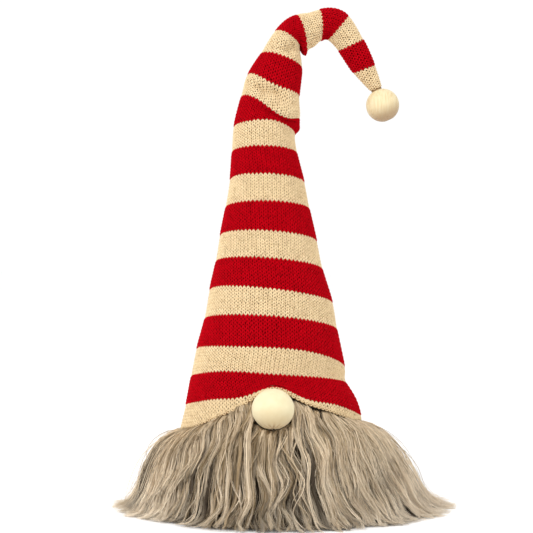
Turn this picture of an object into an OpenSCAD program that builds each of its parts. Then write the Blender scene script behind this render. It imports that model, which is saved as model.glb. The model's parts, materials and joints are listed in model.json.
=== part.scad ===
// Tomte gnome figurine.
// A weighted felt sack wears a long faux-fur beard, a stuffed round nose and a tall knitted
// hat. A wire in the hat lets it be bent; a drilled wooden bead turns on the cord at its tip.
// The origin is the centre of the base's underside, +Z is up and the nose faces -Y.

/* [Body] */
// Radius of the flat base
base_r = 60; // [57:1:60]
// Radius of the body where it is widest
belly_r = 62; // [60:1:62]
// Height of the body up to the top of its gathered neck
body_h = 136; // [134:1:138]
// Thickness of the felt
felt_t = 2; // [1:0.5:2]
// Thickness of the card in the base
card_t = 2; // [1:0.5:3]
// Radius of the bag of pellets
bag_r = 50; // [40:1:54]
// Height of the bag of pellets
bag_h = 26; // [15:1:35]

/* [Beard] */
// Reach of the longest pile along the floor, from the centre
beard_r = 128; // [118:1:134]
// Angle that the beard covers, centred on the front
beard_angle = 230; // [180:5:240]
// Height at which the pile starts at the front
beard_top = 96; // [90:1:98]
// Thickness of the woven backing
backing_t = 1.5; // [1:0.5:1.5]

/* [Nose] */
// Diameter of the nose
nose_d = 30; // [26:1:30]
// Height of the nose's centre
nose_z = 82; // [80:1:83]

/* [Hat] */
// Thickness of the knitted fabric
knit_t = 2.5; // [1.5:0.5:3]
// Radius of the hat at its foot
hat_r = 69; // [68:0.5:71]
// Height of the rim at the two sides
rim_z = 62; // [58:1:66]
// Tilt of the rim, up towards the front, in degrees
rim_tilt = 18; // [10:1:20]
// Height of the turned hem
hem_h = 4; // [3:0.5:6]
// Diameter of the wire
wire_d = 2; // [1:0.5:3]

/* [Tip] */
// Diameter of the wooden bead
bead_d = 25; // [20:1:25]
// Diameter of the cord through the bead
cord_d = 2; // [1:0.5:2]

/* [Hidden] */
$fn = 96;

// Clearance between stretches of the hat that move against each other.
gap = 0.6;
// Extra swing, in degrees, that the cut between two stretches leaves on each side.
spare = 2;
// Larger than the whole object, for cutting tools.
big = 500;

// Body: straight sides to the belly, then a quarter ellipse up to the neck.
belly_z = 30;
dome_h = 100;
neck_r = 7;
bag_t = 1;
thread_d = 1.6;

// Beard: share of the spread that runs evenly down the front; the rest flares on the floor.
beard_even = 0.78;
beard_flare = 10;
beard_top_r = hat_r - 5;
backing_foot = 8;
backing_top = 98;

// Nose: it rests against the beard's backing, and the hat's rim arches over it.
nose_r = nose_d / 2;
nose_wall = 0.8;
nose_pos = [0.7, -74, nose_z];
arch_r = 25.5;
arch_z = 70;
rim_roll = -2.5;

// Hat: the bends in the XZ plane, the lean of each stretch from the vertical, and its radii.
bend_low = [-4, 0, 290];
bend_top = [13, 0, 350];
bend_crest = [40, 0, 362];
hat_end = [78.3, 0, 317.2];
bead_pos = [84.1, 0, 304.1];
lean_low = lean([0, 0, 0], bend_low);
lean_middle = lean(bend_low, bend_top);
lean_crest = lean(bend_top, bend_crest);
lean_tip = lean(bend_crest, hat_end);
lean_bead = lean(hat_end, bead_pos);
low_r = 23;
top_r = 12.5;
crest_r = 11;
end_r = 4.5;
// How far each bend opens and closes, in degrees.
swing_low = [-25, 15];
swing_top = [-45, 15];
swing_crest = [-60, 20];

hat_foot_z = 34;
stuffing_z = 104;
loop_r = 12;
loop_z = body_h + 1.5;

// Bead: a narrow bore for the cord and a wider mouth that the knot sits in.
bead_r = bead_d / 2;
bore_r = cord_d / 2 + 0.6;
mouth_r = 3;
mouth_depth = 6;
knot_r = 2.3;

// Lean of a stretch from the vertical, towards +X, in degrees.
function lean(from, to) = atan2(to[0] - from[0], to[2] - from[2]);

// How far the beard stands out at height t of its whole, from 0 at the floor to 1 at its top.
function beard_reach(t) =
    beard_top_r + (beard_r - beard_top_r)
        * (beard_even * (1 - t) + (1 - beard_even) * pow(1 - t, beard_flare));

// ---- Shared shapes ----

// The body's outer form, grown outwards by grow, standing on the height foot.
module body_form(grow = 0, foot = 0) {
    dome = [for (a = [0:6:90])
        [neck_r + grow + (belly_r - neck_r) * cos(a), belly_z + (dome_h + grow) * sin(a)]];
    rotate_extrude()
        polygon(concat([[0, foot], [base_r + grow, foot]], dome,
                       [[neck_r + grow, body_h + grow], [0, body_h + grow]]));
}

// Everything below the hat's rim, raised by lift. It is tilted, and arches over the nose.
module below_rim(lift = 0) {
    translate([0, 0, rim_z + lift])
        rotate([-rim_tilt, rim_roll, 0])
            translate([-big / 2, -big / 2, -big])
                cube(big);
    translate([nose_pos[0], 0, arch_z + lift])
        rotate([90, 0, 0])
            cylinder(r = arch_r, h = big);
}

// Everything above the rim's plane, where the hat is.
module above_rim() {
    translate([0, 0, rim_z])
        rotate([-rim_tilt, rim_roll, 0])
            translate([-big / 2, -big / 2, 0])
                cube(big);
}

// The ring sector that the beard covers, as a cutting tool.
module beard_sector() {
    rotate([0, 0, -90 - beard_angle / 2])
        rotate_extrude(angle = beard_angle)
            square([beard_r + 1, backing_top]);
}

// The upright lower stretch of the hat, drawn inset from its outer surface.
module lower_form(inset = 0) {
    rotate([0, lean_low, 0])
        rotate_extrude()
            polygon([[0, hat_foot_z], [hat_r - inset, hat_foot_z], [hat_r - 1 - inset, 60],
                     [hat_r - 8 - inset, 92], [low_r + 1.5 - inset, 268],
                     [low_r - inset, 300], [0, 300]]);
}

// The stretch between the low bend and the top bend.
module middle_form(inset = 0) {
    translate(bend_low)
        rotate([0, lean_middle, 0])
            rotate_extrude()
                polygon([[0, -10], [low_r - inset, -10], [low_r - 2.5 - inset, 30],
                         [top_r + 2.5 - inset, 52], [top_r - inset, 72], [0, 72]]);
}

// The short stretch over the crest of the arch.
module crest_form(inset = 0) {
    translate(bend_top)
        rotate([0, lean_crest, 0])
            rotate_extrude()
                polygon([[0, -9], [top_r - inset, -9], [top_r - inset, 20],
                         [crest_r - inset, 42], [0, 42]]);
}

// The hanging stretch down to the tip, which is closed round the cord.
module tip_form(inset = 0) {
    length = norm(hat_end - bend_crest) - inset;
    translate(bend_crest)
        rotate([0, lean_tip, 0])
            rotate_extrude()
                polygon([[0, -12], [crest_r - inset, -12], [crest_r - 1.8 - inset, 25],
                         [crest_r - 3.2 - inset, 42], [end_r - inset, length], [0, length]]);
}

// Puts a bend's own frame at its centre, with +Z halfway between the two stretches.
module at_bend(bend, lean_below, lean_above) {
    translate(bend)
        rotate([0, (lean_below + lean_above) / 2, 0])
            children();
}

// Everything past a bend's middle plane, to cut the stretch below it.
module past_bend() {
    translate([-big / 2, -big / 2, 0])
        cube(big);
}

// Everything that the stretch above a bend has to stay clear of over its swing.
module swing_room(ball_r, swing) {
    sphere(r = ball_r + gap);
    translate([0, big / 2, gap])
        rotate([90, 0, 0])
            linear_extrude(big)
                polygon([[0, 0], [-big, big * tan(spare - swing[0])], [-big, -big],
                         [big, -big], [big, big * tan(spare + swing[1])]]);
}

module at_low_bend() { at_bend(bend_low, lean_low, lean_middle) children(); }

module at_top_bend() { at_bend(bend_top, lean_middle, lean_crest) children(); }

module at_crest_bend() { at_bend(bend_crest, lean_crest, lean_tip) children(); }

module lower_stretch(inset = 0) {
    difference() {
        lower_form(inset);
        at_low_bend() past_bend();
    }
    translate(bend_low) sphere(r = low_r - inset);
}

module middle_stretch(inset = 0) {
    difference() {
        union() {
            difference() {
                middle_form(inset);
                at_top_bend() past_bend();
            }
            translate(bend_top) sphere(r = top_r - inset);
        }
        at_low_bend() swing_room(low_r, swing_low);
    }
}

module crest_stretch(inset = 0) {
    difference() {
        union() {
            difference() {
                crest_form(inset);
                at_crest_bend() past_bend();
            }
            translate(bend_crest) sphere(r = crest_r - inset);
        }
        at_top_bend() swing_room(top_r, swing_top);
    }
}

module tip_stretch(inset = 0) {
    difference() {
        tip_form(inset);
        at_crest_bend() swing_room(crest_r, swing_crest);
    }
}

// A straight piece of wire along a stretch, from one height in it to another.
module wire(start, lean_angle, from, to) {
    translate(start)
        rotate([0, lean_angle, 0])
            translate([0, 0, from])
                cylinder(d = wire_d, h = to - from);
}

// The bead's frame: +Z runs down the cord, away from the hat.
module at_bead() {
    translate(bead_pos)
        rotate([0, lean_bead, 0])
            children();
}

module cord_run() {
    at_bead()
        translate([0, 0, -bead_r - 6.5])
            cylinder(d = cord_d, h = 2 * bead_r + 6.5 - mouth_depth);
}

// ---- Body ----

module base_cloth() {
    color("#8f8a80")
        cylinder(r = base_r, h = felt_t);
}

module base_card() {
    color("#b08d5f")
        translate([0, 0, felt_t])
            cylinder(r = base_r - felt_t - 1, h = card_t);
}

module bag_form(inset) {
    round_r = 4;
    translate([0, 0, felt_t + card_t])
        rotate_extrude()
            polygon([[0, inset], [bag_r - round_r, inset], [bag_r - inset, round_r],
                     [bag_r - inset, bag_h - round_r], [bag_r - round_r, bag_h - inset],
                     [0, bag_h - inset]]);
}

module pellet_bag() {
    color("#d8d2c4")
        difference() {
            bag_form(0);
            bag_form(bag_t);
        }
}

module pellets() {
    color("#c9c9c9")
        bag_form(bag_t);
}

module body_cloth() {
    color("#8f8a80")
        difference() {
            body_form(0, felt_t);
            body_form(-felt_t, felt_t);
        }
}

module body_stuffing() {
    color("#f2f0ea")
        difference() {
            body_form(-felt_t, felt_t + card_t);
            bag_form(0);
        }
}

module neck_thread() {
    color("#7a756b")
        translate([0, 0, body_h - 3])
            rotate_extrude()
                translate([neck_r + thread_d / 2, 0])
                    circle(d = thread_d);
}

// ---- Beard and nose ----

module beard_backing() {
    color("#8a7d68")
        intersection() {
            difference() {
                body_form(backing_t, backing_foot);
                body_form(0, 0);
            }
            beard_sector();
        }
}

module beard_pile() {
    outline = [for (t = [0:0.05:1]) [beard_reach(t), beard_top * t]];
    color("#a59680")
        difference() {
            rotate([0, 0, -90 - beard_angle / 2])
                rotate_extrude(angle = beard_angle)
                    polygon(concat([[0, 0]], outline, [[0, beard_top]]));
            body_form(backing_t, -1);
            above_rim();
            nose_room();
        }
}

module nose_room() {
    translate(nose_pos) sphere(r = nose_r + 0.4);
    nose_tie();
}

module nose_tie() {
    translate([nose_pos[0], nose_pos[1] + nose_r - 1, nose_pos[2]])
        rotate([-90, 0, 0])
            cylinder(d = thread_d, h = -nose_pos[1] - nose_r + 1 - belly_r + 10);
}

module nose_cloth() {
    color("#faebc8")
        difference() {
            translate(nose_pos) sphere(r = nose_r);
            translate(nose_pos) sphere(r = nose_r - nose_wall);
            nose_tie();
        }
}

module nose_stuffing() {
    color("#f2f0ea")
        translate(nose_pos) sphere(r = nose_r - nose_wall);
}

module nose_thread() {
    color("#d8c49c")
        difference() {
            nose_tie();
            body_form(backing_t, 0);
            translate(nose_pos) sphere(r = nose_r - nose_wall);
        }
}

// ---- Hat ----

module hat_knit_lower() {
    color("#c8051e")
        difference() {
            lower_stretch();
            lower_stretch(knit_t);
            below_rim(hem_h);
        }
}

module hat_hem() {
    color("#f5deb3")
        intersection() {
            difference() {
                lower_form();
                lower_form(knit_t);
                below_rim();
            }
            below_rim(hem_h);
        }
}

module hat_stuffing_lower() {
    color("#f2f0ea")
        difference() {
            lower_stretch(knit_t);
            body_form(gap, 0);
            neck_thread();
            translate([-big / 2, -big / 2, stuffing_z - big])
                cube(big);
            hat_wire_loop();
            hat_wire_lower();
        }
}

module hat_wire_lower() {
    color("#8c8f94")
        wire([0, 0, 0], lean_low, loop_z + wire_d / 2, bend_low[2] + low_r - knit_t - 4);
}

module hat_wire_loop() {
    color("#8c8f94")
        rotate([0, lean_low, 0])
            translate([0, 0, loop_z]) {
                rotate_extrude()
                    translate([loop_r, 0])
                        circle(d = wire_d);
                rotate([0, 90, 0])
                    cylinder(d = wire_d, h = loop_r);
            }
}

module hat_knit_middle() {
    color("#c8051e")
        difference() {
            middle_stretch();
            middle_stretch(knit_t);
        }
}

module hat_stuffing_middle() {
    color("#f2f0ea")
        difference() {
            middle_stretch(knit_t);
            hat_wire_middle();
        }
}

module hat_wire_middle() {
    color("#8c8f94")
        wire(bend_low, lean_middle, low_r + gap + 1, norm(bend_top - bend_low) + top_r - knit_t - 3);
}

module hat_knit_crest() {
    color("#f5deb3")
        difference() {
            crest_stretch();
            crest_stretch(knit_t);
        }
}

module hat_stuffing_crest() {
    color("#f2f0ea")
        difference() {
            crest_stretch(knit_t);
            hat_wire_crest();
        }
}

module hat_wire_crest() {
    color("#8c8f94")
        wire(bend_top, lean_crest, top_r + gap + 1, norm(bend_crest - bend_top) + crest_r - knit_t - 3);
}

module hat_knit_tip() {
    color("#c8051e")
        difference() {
            tip_stretch();
            tip_stretch(knit_t);
            cord_run();
        }
}

module hat_stuffing_tip() {
    color("#f2f0ea")
        difference() {
            tip_stretch(knit_t);
            hat_wire_tip();
            cord_run();
        }
}

module hat_wire_tip() {
    color("#8c8f94")
        wire(bend_crest, lean_tip, crest_r + gap + 1, norm(hat_end - bend_crest) - 10);
}

// ---- Bead ----

module bead_cord() {
    color("#f5deb3")
        cord_run();
}

module cord_knot() {
    color("#f5deb3")
        at_bead()
            translate([0, 0, bead_r - mouth_depth + knot_r])
                sphere(r = knot_r);
}

module tip_bead() {
    color("#e8c99a")
        at_bead()
            difference() {
                sphere(r = bead_r);
                translate([0, 0, -bead_r])
                    cylinder(r = bore_r, h = 2 * bead_r);
                translate([0, 0, bead_r - mouth_depth])
                    cylinder(r = mouth_r, h = mouth_depth);
            }
}

base_cloth();
base_card();
pellet_bag();
pellets();
body_cloth();
body_stuffing();
neck_thread();
beard_backing();
beard_pile();
nose_cloth();
nose_stuffing();
nose_thread();
hat_knit_lower();
hat_hem();
hat_stuffing_lower();
hat_wire_lower();
hat_wire_loop();
hat_knit_middle();
hat_stuffing_middle();
hat_wire_middle();
hat_knit_crest();
hat_stuffing_crest();
hat_wire_crest();
hat_knit_tip();
hat_stuffing_tip();
hat_wire_tip();
bead_cord();
cord_knot();
tip_bead();
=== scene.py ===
"""The looks of the tomte gnome figurine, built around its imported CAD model.

All shapes are worked out in millimetres and become metres when a mesh is made. The hat is
one knitted surface, addressed by t, the row counted up from the lowest colour change, and
psi, the angle round the hat from the front, positive towards +X.
"""
import json
import math

import bmesh
import bpy
import numpy as np
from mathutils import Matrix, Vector

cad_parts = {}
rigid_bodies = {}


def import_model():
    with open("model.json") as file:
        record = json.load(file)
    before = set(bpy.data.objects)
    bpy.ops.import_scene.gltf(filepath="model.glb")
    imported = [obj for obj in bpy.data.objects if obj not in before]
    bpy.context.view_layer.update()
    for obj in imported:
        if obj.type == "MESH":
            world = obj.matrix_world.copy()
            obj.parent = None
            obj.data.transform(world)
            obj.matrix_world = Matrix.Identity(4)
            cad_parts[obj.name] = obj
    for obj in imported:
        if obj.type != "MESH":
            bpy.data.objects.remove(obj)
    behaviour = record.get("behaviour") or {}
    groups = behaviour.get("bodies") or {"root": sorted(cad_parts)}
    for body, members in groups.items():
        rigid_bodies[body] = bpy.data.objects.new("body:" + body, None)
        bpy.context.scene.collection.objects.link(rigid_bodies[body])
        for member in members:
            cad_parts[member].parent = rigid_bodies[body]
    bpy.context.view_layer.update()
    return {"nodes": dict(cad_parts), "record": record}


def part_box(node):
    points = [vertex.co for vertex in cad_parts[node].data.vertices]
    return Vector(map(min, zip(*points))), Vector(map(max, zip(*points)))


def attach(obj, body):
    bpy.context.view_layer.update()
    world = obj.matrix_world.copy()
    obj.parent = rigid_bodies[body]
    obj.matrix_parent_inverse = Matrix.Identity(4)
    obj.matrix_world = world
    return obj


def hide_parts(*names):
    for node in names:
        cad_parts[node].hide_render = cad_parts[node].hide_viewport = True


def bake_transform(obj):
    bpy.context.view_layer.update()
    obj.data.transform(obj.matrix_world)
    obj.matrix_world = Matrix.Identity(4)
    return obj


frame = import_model()

MM = 0.001
SEED = 7

# ---- Places read from the frame, in millimetres ----

JOINTS = {joint["name"]: joint for joint in frame["record"]["behaviour"]["joints"]}


def joint_place(name):
    """The joint's place, in millimetres."""
    return np.array(JOINTS[name]["pos_m"]) / MM


def node_box(name):
    """The lowest and highest corner of a CAD node, in millimetres."""
    low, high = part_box(name)
    return np.array(low) / MM, np.array(high) / MM


LOW_BEND = joint_place("low_bend")
TOP_BEND = joint_place("top_bend")
CREST_BEND = joint_place("crest_bend")
BEAD_CENTRE = joint_place("bead_spin")
CORD_WAY = np.array(JOINTS["bead_spin"]["axis"])
BEAD_LOW, BEAD_HIGH = node_box("tip_bead")
BEAD_R = (BEAD_HIGH[1] - BEAD_LOW[1]) / 2
NOSE_LOW, NOSE_HIGH = node_box("nose_cloth")
NOSE_CENTRE = (NOSE_LOW + NOSE_HIGH) / 2
NOSE_R = (NOSE_HIGH[2] - NOSE_LOW[2]) / 2
BODY_LOW, BODY_HIGH = node_box("body_cloth")
BODY_R = (BODY_HIGH[0] - BODY_LOW[0]) / 2

# ---- Knitted fabric ----

WALE = 3.25
ROW_HEIGHT = 2.36
ROWS_PER_STRIPE = 9
STRIPES = 21
YARN_R = 0.64
LEG_RINGS = 6
LEG_SIDES = 5

# Left and right edge of the hat and its half depth at each colour change, from one stripe
# below the lowest one up to the tip: (left x, left z), (right x, right z), half depth.
HAT_RINGS = [
    ((-69, 57), (68, 48), 69),
    ((-64.3, 76.8), (66.8, 68.2), 65.5),
    ((-60.3, 98), (55.6, 92.8), 59),
    ((-56.2, 119), (54.6, 104.4), 55.5),
    ((-50.2, 141.4), (49, 133), 50),
    ((-46.3, 163.8), (45.6, 153.4), 46.5),
    ((-41.7, 184.8), (38.1, 178.8), 40.5),
    ((-38.4, 204.8), (33.7, 200.2), 36.5),
    ((-34.3, 225.8), (28.3, 224.4), 32),
    ((-30.9, 247.2), (24.3, 244.8), 28.5),
    ((-29.4, 267.8), (18.9, 266.8), 25),
    ((-28, 287.3), (17, 282.6), 23),
    ((-22.6, 309.8), (20.5, 294), 22),
    ((-17.6, 326.6), (20.4, 311), 19.5),
    ((-8, 342), (22.4, 331.4), 17),
    ((3, 359.2), (20.8, 347.8), 14.5),
    ((18.4, 371.6), (25.6, 349.6), 12.5),
    ((36, 375.8), (37.4, 353.6), 11),
    ((56.8, 370.8), (42.6, 354.2), 10.3),
    ((68.8, 354), (51, 345.6), 9.5),
    ((77.6, 334.6), (62.4, 328.8), 7.5),
    ((83, 318.5), (75, 315.2), 4.0),
]

# Folds of the hat: row, degrees round from the front, how far out and how far up it stands,
# and how far it spreads in rows below, rows above and degrees to each side.
FOLDS = [
    (0, -35, 0, 2.9, 9, 5, 20),
    (0, 36, 0, 4.9, 9, 5, 24),
    (5, 90, 2.0, 0, 3.5, 3.5, 45),
    (9, -30, 0, 1.4, 4, 4, 25),
    (18, 25, 0, 4.6, 5, 5, 48),
    (27, 10, 0, 1.1, 4, 4, 60),
    (90, 15, 0, 2.7, 3, 3, 40),
    (94, 90, 2.4, -1.0, 3, 3, 25),
    (95.5, 25, -4.0, 0, 2.5, 2.5, 45),
    (99, 20, 0, -8.8, 3, 9, 44),
    (105.5, -48, 2.0, 0, 2.2, 2.2, 26),
    (101.8, 30, 3.0, 0, 2.6, 2.4, 36),
    (103.4, -28, -5.0, 0, 1.6, 2.0, 18),
    (105.6, 2, -5.5, 0, 1.8, 2.0, 22),
    (108, -15, 0, -2.0, 4, 4, 35),
    (119.5, 12, -3.8, 0, 1.8, 1.8, 22),
    (122.3, 34, -3.6, 0, 1.8, 1.8, 22),
    (122.5, -15, 1.8, 0, 2.4, 2.4, 24),
    (131, -90, 0.8, 0, 4, 3, 70),
    (133, 85, 2.5, -4.5, 3, 3, 35),
    (139, 90, 0.5, -2.6, 4, 3, 50),
    (140, -90, -1.0, -0.6, 3, 3, 70),
    (143.5, 0, -1.2, 0, 1.5, 1, 60),
    (149, -90, 2.2, 0, 4, 5, 70),
]

SKIN = 0.2
STRIPE_SWELL = 0.5
FRONT_LIFT = 0.16
BACK_DROP = 0.45
NOSE_LIFT = 13.3
NOSE_LIFT_SPREAD = math.radians(18)
NOSE_PUSH = 4.0
SEAM_TUCK = 1.3
SEAM_SPREAD = 3.0


def smooth(stations, places, at):
    """Values at the given places, on cubics through evenly spaced stations one apart."""
    values = np.asarray(stations, float)
    position = np.clip((at - places[0]) / (places[1] - places[0]), 0, len(values) - 1 - 1e-9)
    index = position.astype(int)
    u = position - index
    before = values[np.maximum(index - 1, 0)]
    here = values[index]
    after = values[index + 1]
    beyond = values[np.minimum(index + 2, len(values) - 1)]
    slope_here = (after - before) / 2
    slope_after = (beyond - here) / 2
    return (
        here * (2 * u**3 - 3 * u**2 + 1)
        + slope_here * (u**3 - 2 * u**2 + u)
        + after * (3 * u**2 - 2 * u**3)
        + slope_after * (u**3 - u**2)
    )


RING_ROWS = np.array([(k - 1) * ROWS_PER_STRIPE for k in range(len(HAT_RINGS))], float)
LEFT_X, LEFT_Z, RIGHT_X, RIGHT_Z, DEPTH = (
    np.array(column, float)
    for column in zip(*[(*left, *right, depth) for left, right, depth in HAT_RINGS])
)


def ring_at(t):
    """Left and right edge points in XZ, and the half depth, at row t."""
    columns = [smooth(values, RING_ROWS, t) for values in (LEFT_X, LEFT_Z, RIGHT_X, RIGHT_Z, DEPTH)]
    return columns


def hat_radius(t):
    """The hat's mean radius at a row."""
    left_x, left_z, right_x, right_z, depth = ring_at(t)
    half = np.hypot(right_x - left_x, right_z - left_z) / 2
    return (half + depth) / 2


def bump(distance, spread):
    """1 at no distance, falling smoothly to nothing over the spread."""
    return np.exp(-((distance / spread) ** 2))


def wrapped(angle):
    """The angle brought into -pi to pi."""
    return (angle + math.pi) % (2 * math.pi) - math.pi


def is_red(t):
    """1 in the middle of a red stripe, 0 in a cream one, with soft edges."""
    phase = (t % (2 * ROWS_PER_STRIPE)) / ROWS_PER_STRIPE
    return np.clip(np.minimum(phase, 1 - phase) * 6 + 0.4, 0, 1) * (phase < 1)


def hat_point(t, psi, out=0.0):
    """Points of the knitted surface, moved out along the ring's own radius."""
    left_x, left_z, right_x, right_z, depth = ring_at(t)
    half_x = (right_x - left_x) / 2
    half_z = (right_z - left_z) / 2
    half = np.hypot(half_x, half_z)
    side_x = half_x / half
    side_z = half_z / half
    sine = np.sin(psi)
    cosine = np.cos(psi)
    turn = np.abs(psi) / (math.pi / 2)
    behind = np.maximum(turn - 1, 0)
    front = np.where(
        turn < 1,
        FRONT_LIFT * (1 - turn**2),
        -FRONT_LIFT * 2 * behind - (BACK_DROP - 2 * FRONT_LIFT) * behind**2,
    )
    lift = front * depth
    arc_from_seam = (math.pi - np.abs(psi)) * (half + depth) / 2
    grow = out - SKIN + STRIPE_SWELL * is_red(t) - SEAM_TUCK * bump(arc_from_seam, SEAM_SPREAD)
    rise = 0.0
    for row, degrees, fold_out, fold_up, below, above, spread in FOLDS:
        strength = bump(t - row, np.where(t < row, below, above)) * bump(
            np.degrees(wrapped(psi - math.radians(degrees))), spread
        )
        grow = grow + fold_out * strength
        rise = rise + fold_up * strength
    x = (left_x + right_x) / 2 + side_x * (half + grow) * sine - side_z * lift
    z = (left_z + right_z) / 2 + side_z * (half + grow) * sine + side_x * lift
    y = -(depth + grow) * cosine
    near_rim = np.clip(1 - np.maximum(t, 0) / ROWS_PER_STRIPE, 0, 1) ** 1.5
    over_nose = bump(psi, NOSE_LIFT_SPREAD) * near_rim
    return np.stack([x, y - NOSE_PUSH * over_nose, z + rise + NOSE_LIFT * over_nose], -1)


def hat_normal(t, psi):
    """The direction straight out of the knitted surface."""
    step = 0.05
    along = hat_point(t + step, psi) - hat_point(t - step, psi)
    around = hat_point(t, psi + step) - hat_point(t, psi - step)
    normal = np.cross(around, along)
    return normal / np.maximum(np.linalg.norm(normal, axis=-1, keepdims=True), 1e-9)


def ease(share):
    """A smooth step from 0 to 1."""
    share = np.clip(share, 0, 1)
    return share * share * (3 - 2 * share)


def rim_row(psi):
    """The row where the hem is turned: low on the left, high over the nose and to its right."""
    degrees = np.degrees(wrapped(psi))
    left = 15.5 * ease(-degrees / 65)
    right = 3.5 * bump(degrees - 50, 22)
    behind = ease((np.abs(degrees) - 100) / 80)
    band = (2.5 + left + right) * (1 - behind) + 9.0 * behind
    return -band / ROW_HEIGHT


# ---- Meshes ----


def make_piece(name, points, faces, material, smooth_faces=True, **attributes):
    """A mesh object from points in millimetres and a list of index arrays, one per face size."""
    mesh = bpy.data.meshes.new(name)
    points = np.asarray(points, np.float32).reshape(-1, 3) * MM
    faces = [np.asarray(block, np.int32) for block in faces if len(block)]
    sizes = np.concatenate([np.full(len(block), block.shape[1]) for block in faces])
    corners = np.concatenate([block.ravel() for block in faces])
    mesh.vertices.add(len(points))
    mesh.vertices.foreach_set("co", points.ravel())
    mesh.loops.add(len(corners))
    mesh.loops.foreach_set("vertex_index", corners)
    mesh.polygons.add(len(sizes))
    starts = np.concatenate([[0], np.cumsum(sizes)[:-1]])
    mesh.polygons.foreach_set("loop_start", starts.astype(np.int32))
    mesh.update(calc_edges=True)
    mesh.polygons.foreach_set("use_smooth", np.full(len(sizes), smooth_faces))
    for key, values in attributes.items():
        layer = mesh.attributes.new(key, "FLOAT", "POINT")
        layer.data.foreach_set("value", np.asarray(values, np.float32).ravel())
    mesh.validate()
    face_outwards(mesh)
    mesh.materials.append(material)
    piece = bpy.data.objects.new(name, mesh)
    bpy.context.scene.collection.objects.link(piece)
    return piece


def face_outwards(mesh):
    """Turns the faces of every closed solid in the mesh to point out of it."""
    solid = bmesh.new()
    solid.from_mesh(mesh)
    bmesh.ops.recalc_face_normals(solid, faces=solid.faces)
    solid.to_mesh(mesh)
    solid.free()


def grid_faces(rows, columns, closed=False):
    """Quads of a grid of points stored row by row; closed joins the last column to the first."""
    last = columns if closed else columns - 1
    row, column = np.meshgrid(np.arange(rows - 1), np.arange(last), indexing="ij")
    row, column = row.ravel() * columns, column.ravel()
    beside = (column + 1) % columns
    return np.stack([row + column, row + beside, row + columns + beside, row + columns + column], 1)


def tube_points(path, radii, sides):
    """Rings of points round a path, with a frame carried along it."""
    path = np.asarray(path, float)
    ways = np.gradient(path, axis=0)
    ways /= np.linalg.norm(ways, axis=1, keepdims=True)
    up = np.array([0.0, 1.0, 0.0]) if abs(ways[0][1]) < 0.9 else np.array([1.0, 0.0, 0.0])
    rings = []
    for place, way, radius in zip(path, ways, radii):
        up = up - way * (up @ way)
        up /= np.linalg.norm(up)
        across = np.cross(way, up)
        turn = np.linspace(0, 2 * math.pi, sides, endpoint=False)[:, None]
        rings.append(place + radius * (np.cos(turn) * up + np.sin(turn) * across))
    return np.array(rings)


def tube_piece(name, path, radii, material, sides=12):
    """One closed tube along a path."""
    rings = tube_points(path, radii, sides)
    rows = len(rings)
    ends = [np.arange(sides)[None, ::-1], np.arange(sides)[None] + (rows - 1) * sides]
    return make_piece(name, rings, [grid_faces(rows, sides, closed=True), *ends], material)


# ---- Materials ----


class Nodes:
    """A short way to build a material's node tree."""

    def __init__(self, name, **values):
        self.material = bpy.data.materials.new(name)
        self.material.use_nodes = True
        self.tree = self.material.node_tree
        self.shader = self.tree.nodes["Principled BSDF"]
        for key, value in values.items():
            self.shader.inputs[key.replace("_", " ")].default_value = value

    def add(self, kind, **settings):
        node = self.tree.nodes.new(kind)
        for key, value in settings.items():
            if key in node.inputs:
                node.inputs[key].default_value = value
            else:
                setattr(node, key, value)
        return node

    def link(self, source, target):
        self.tree.links.new(source, target)

    def place(self):
        return self.add("ShaderNodeTexCoord").outputs["Object"]

    def noise(self, scale, detail=3.0, vector=None):
        node = self.add("ShaderNodeTexNoise", Scale=scale, Detail=detail)
        self.link(vector or self.place(), node.inputs["Vector"])
        return node.outputs["Fac"]

    def attribute(self, name):
        return self.add("ShaderNodeAttribute", attribute_name=name).outputs["Fac"]

    def maths(self, operation, first, second):
        node = self.add("ShaderNodeMath", operation=operation)
        for socket, value in zip(node.inputs, (first, second)):
            if isinstance(value, (int, float)):
                socket.default_value = value
            else:
                self.link(value, socket)
        return node.outputs[0]

    def ramp(self, source, stops):
        node = self.add("ShaderNodeValToRGB")
        elements = node.color_ramp.elements
        while len(elements) < len(stops):
            elements.new(0.5)
        for element, (position, colour) in zip(elements, stops):
            element.position = position
            element.color = (*colour, 1)
        self.link(source, node.inputs["Fac"])
        return node.outputs["Color"]

    def mix(self, share, first, second):
        """Blends two colours; in a colour Mix node they are sockets 6 and 7, and output 2."""
        node = self.add("ShaderNodeMix", data_type="RGBA")
        sockets = (node.inputs[0], node.inputs[6], node.inputs[7])
        for socket, value in zip(sockets, (share, first, second)):
            if isinstance(value, (int, float)):
                socket.default_value = value
            elif isinstance(value, tuple):
                socket.default_value = (*value, 1)
            else:
                self.link(value, socket)
        return node.outputs[2]

    def bump(self, height, distance, strength=1.0):
        node = self.add("ShaderNodeBump", Distance=distance, Strength=strength)
        self.link(height, node.inputs["Height"])
        self.link(node.outputs["Normal"], self.shader.inputs["Normal"])

    def colour(self, source):
        self.link(source, self.shader.inputs["Base Color"])

    def roughness(self, source, low, high):
        node = self.add("ShaderNodeMapRange")
        node.inputs["To Min"].default_value = low
        node.inputs["To Max"].default_value = high
        self.link(source, node.inputs["Value"])
        self.link(node.outputs["Result"], self.shader.inputs["Roughness"])


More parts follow.
